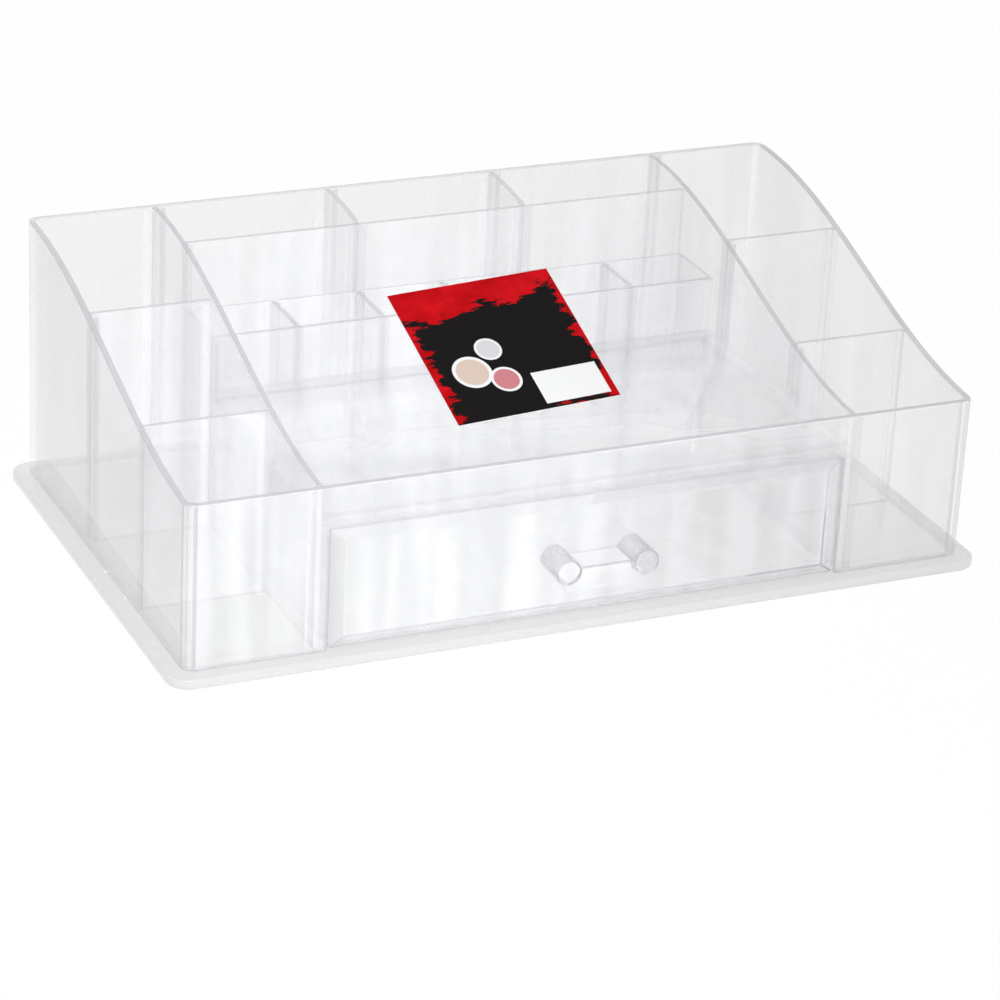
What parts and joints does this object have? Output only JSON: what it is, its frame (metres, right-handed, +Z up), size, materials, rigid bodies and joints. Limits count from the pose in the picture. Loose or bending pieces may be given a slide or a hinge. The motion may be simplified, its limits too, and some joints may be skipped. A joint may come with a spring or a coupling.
{
  "type": "makeup organizer",
  "caption": "Clear plastic desktop makeup organizer: stepped compartments with curved side walls, a front tray and a sliding drawer with a handle.",
  "frame": {"origin": "middle of the whole footprint, drawer handle included, on the underside of the base plate", "axes": "+X to the right of a person who faces the drawer, +Y from the front to the back, +Z up. The drawer opens towards -Y."},
  "size_m": [0.3, 0.189, 0.1],
  "materials": {
    "clear_plate": "clear polystyrene, polished",
    "clear_body": "clear polystyrene, polished",
    "clear_drawer": "clear polystyrene, polished",
    "card": "printed paper, satin"
  },
  "bodies": {
    "organizer": {"base_plate": "clear_plate", "outer_shell": "clear_body", "left_partition": "clear_body", "right_partition": "clear_body", "left_front_cross_wall": "clear_body", "left_rear_cross_wall": "clear_body", "right_front_cross_wall": "clear_body", "right_rear_cross_wall": "clear_body", "back_row_front_wall": "clear_body", "back_row_divider_1": "clear_body", "back_row_divider_2": "clear_body", "mid_row_front_wall": "clear_body", "mid_row_back_lining": "clear_body", "mid_row_left_lining": "clear_body", "mid_row_right_lining": "clear_body", "mid_row_divider_1": "clear_body", "mid_row_divider_2": "clear_body", "mid_row_divider_3": "clear_body", "mid_row_divider_4": "clear_body", "mid_row_divider_5": "clear_body", "tray_floor": "clear_body", "label_card": "card"},
    "drawer": {"drawer_front": "clear_drawer", "drawer_floor": "clear_drawer", "drawer_left_side": "clear_drawer", "drawer_right_side": "clear_drawer", "drawer_back": "clear_drawer", "drawer_handle": "clear_drawer"}
  },
  "joints": [
    {"name": "drawer_slide", "type": "slide", "parent": "organizer", "child": "drawer", "axis": [0, -1, 0], "range_m": [0, 0.09]}
  ]
}
